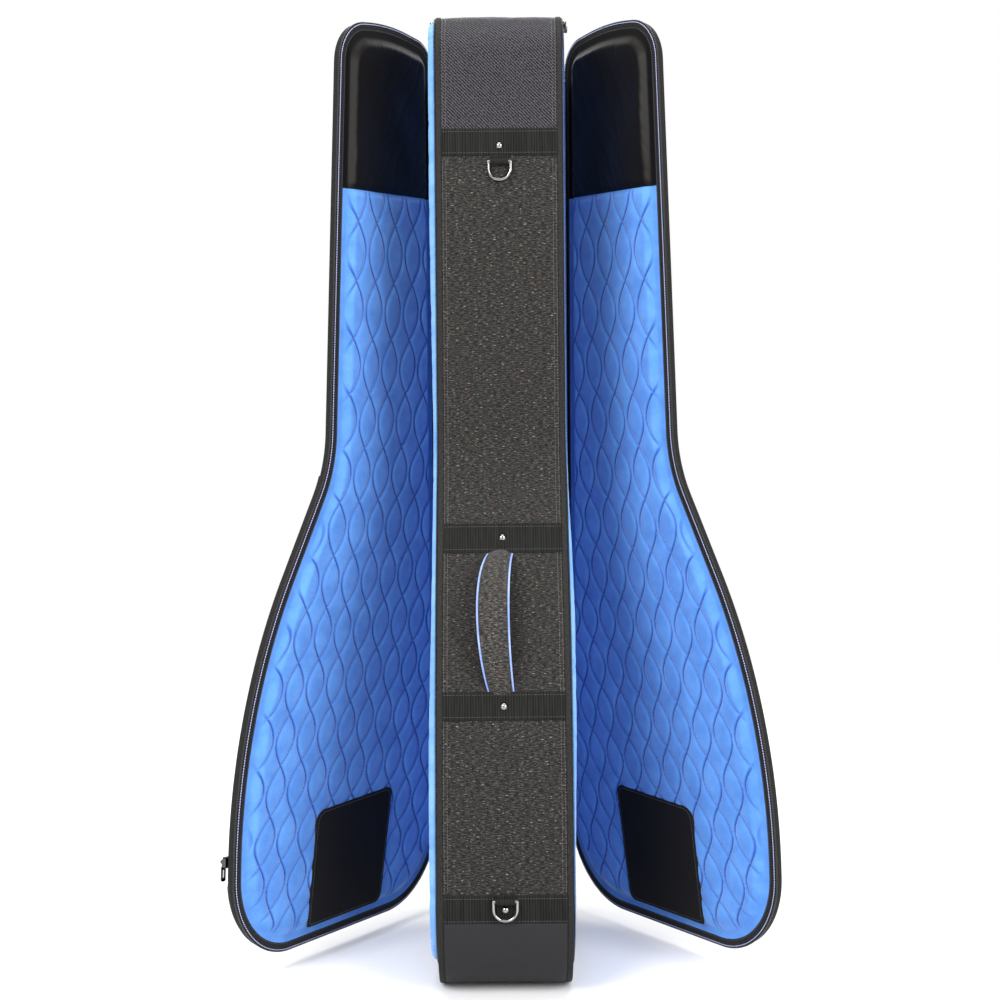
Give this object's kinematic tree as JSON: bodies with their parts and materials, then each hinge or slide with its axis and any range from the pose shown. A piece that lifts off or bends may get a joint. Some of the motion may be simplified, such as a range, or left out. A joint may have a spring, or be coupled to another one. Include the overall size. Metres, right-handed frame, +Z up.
{
  "type": "padded double guitar gig bag",
  "caption": "Upright padded bag for two electric guitars, with a divided gusset, side doors hinged at the rear, a carry handle and strap rings.",
  "frame": {"origin": "on the floor under the middle of the base, halfway across the gusset and halfway between its rear face and the foot of its front edge", "axes": "+X across the gusset towards the right-hand door, -Y towards the handle side, +Z up"},
  "size_m": [0.6212, 0.4108, 1.1061],
  "materials": {
    "heather": "charcoal heather polyester with horizontal slub flecks",
    "ballistic": "coated twill, satin",
    "base": "smooth coated panel, satin",
    "foam": "closed-cell foam and board, matte",
    "lining": "brushed velvet, quilted on the doors",
    "webbing": "ribbed webbing, matte",
    "binding": "woven black tape, matte",
    "zip_coil": "moulded nylon coil, satin",
    "satin": "black padded satin",
    "patch": "soft black artificial leather, matte",
    "nickel": "black nickel plating, polished"
  },
  "bodies": {
    "root": {"gusset_foam": "foam", "spine_panel": "heather", "hinge_side_panel": "heather", "top_panel": "ballistic", "base_panel": "base", "gusset_lining": "lining", "divider_board": "foam", "band_base": "webbing", "band_handle_lower": "webbing", "band_handle_upper": "webbing", "band_top": "webbing", "rivets": "nickel", "ring_tab_upper": "webbing", "ring_tab_lower": "webbing", "handle_core": "foam", "handle_cover": "heather", "handle_piping": "lining", "lip_right": "lining", "lip_left": "lining", "gusset_binding_right": "binding", "gusset_binding_left": "binding", "gusset_zip_right": "zip_coil", "gusset_zip_left": "zip_coil", "hinge_strip_right": "binding", "hinge_strip_left": "binding", "divider_lining_right": "lining", "divider_lining_left": "lining", "neck_cradle_right": "lining", "neck_cradle_left": "lining", "neck_strap_right": "binding", "neck_strap_left": "binding"},
    "door_right": {"door_shell_right": "heather", "door_foam_right": "foam", "door_lining_right": "lining", "door_head_panel_right": "satin", "door_wear_patch_right": "patch", "door_binding_right": "binding", "door_zip_right": "zip_coil"},
    "door_left": {"door_shell_left": "heather", "door_foam_left": "foam", "door_lining_left": "lining", "door_head_panel_left": "satin", "door_wear_patch_left": "patch", "door_binding_left": "binding", "door_zip_left": "zip_coil", "pocket_panel": "heather", "pocket_zip": "binding"},
    "d_ring_upper": {"d_ring_upper": "nickel"},
    "d_ring_lower": {"d_ring_lower": "nickel"},
    "pocket_slider": {"pocket_slider": "nickel"},
    "pocket_pull": {"pocket_pull": "nickel"},
    "slider_lower_right": {"slider_lower_right": "nickel"},
    "pull_lower_right": {"pull_lower_right": "nickel"},
    "slider_upper_right": {"slider_upper_right": "nickel"},
    "pull_upper_right": {"pull_upper_right": "nickel"},
    "slider_lower_left": {"slider_lower_left": "nickel"},
    "pull_lower_left": {"pull_lower_left": "nickel"},
    "slider_upper_left": {"slider_upper_left": "nickel"},
    "pull_upper_left": {"pull_upper_left": "nickel"}
  },
  "joints": [
    {"name": "door_right_hinge", "type": "hinge", "parent": "root", "child": "door_right", "pos_m": [0.082, 0.197, 0.55], "axis": [0, 0, 1], "range_deg": [-33, 87]},
    {"name": "door_left_hinge", "type": "hinge", "parent": "root", "child": "door_left", "pos_m": [-0.082, 0.197, 0.55], "axis": [0, 0, -1], "range_deg": [-33, 87]},
    {"name": "d_ring_upper_swing", "type": "hinge", "parent": "root", "child": "d_ring_upper", "pos_m": [0, -0.00134, 0.92227], "axis": [-1, 0, 0], "range_deg": [0, 165]},
    {"name": "d_ring_lower_swing", "type": "hinge", "parent": "root", "child": "d_ring_lower", "pos_m": [0, -0.20353, 0.11629], "axis": [-1, 0, 0], "range_deg": [0, 165]},
    {"name": "slider_lower_right_travel", "type": "hinge", "parent": "root", "child": "slider_lower_right", "pos_m": [0.079, 0.082, 0.14], "axis": [-1, 0, 0], "range_deg": [0, 20]},
    {"name": "pull_lower_right_swing", "type": "hinge", "parent": "slider_lower_right", "child": "pull_lower_right", "pos_m": [0.079, 0.1839, 0.06865], "axis": [1, 0, 0], "range_deg": [-35, 90]},
    {"name": "slider_upper_right_travel", "type": "hinge", "parent": "root", "child": "slider_upper_right", "pos_m": [0.079, 0.09854, 0.79809], "axis": [1, 0, 0], "range_deg": [0, 15]},
    {"name": "pull_upper_right_swing", "type": "hinge", "parent": "slider_upper_right", "child": "pull_upper_right", "pos_m": [0.079, 0.14694, 1.10368], "axis": [-1, 0, 0], "range_deg": [0, 170]},
    {"name": "slider_lower_left_travel", "type": "hinge", "parent": "root", "child": "slider_lower_left", "pos_m": [-0.079, 0.082, 0.14], "axis": [-1, 0, 0], "range_deg": [0, 20]},
    {"name": "pull_lower_left_swing", "type": "hinge", "parent": "slider_lower_left", "child": "pull_lower_left", "pos_m": [-0.079, 0.1839, 0.06865], "axis": [1, 0, 0], "range_deg": [-35, 90]},
    {"name": "slider_upper_left_travel", "type": "hinge", "parent": "root", "child": "slider_upper_left", "pos_m": [-0.079, 0.09854, 0.79809], "axis": [1, 0, 0], "range_deg": [0, 15]},
    {"name": "pull_upper_left_swing", "type": "hinge", "parent": "slider_upper_left", "child": "pull_upper_left", "pos_m": [-0.079, 0.14694, 1.10368], "axis": [-1, 0, 0], "range_deg": [0, 170]},
    {"name": "pocket_slider_travel", "type": "hinge", "parent": "door_left", "child": "pocket_slider", "pos_m": [0.04262, 0.40909, 0.1044], "axis": [-0.8387, 0.5446, 0], "range_deg": [0, 28]},
    {"name": "pocket_pull_swing", "type": "hinge", "parent": "pocket_slider", "child": "pocket_pull", "pos_m": [-0.3121, -0.11811, 0.14104], "axis": [0.5437, 0.8373, -0.0576], "range_deg": [0, 165]}
  ]
}
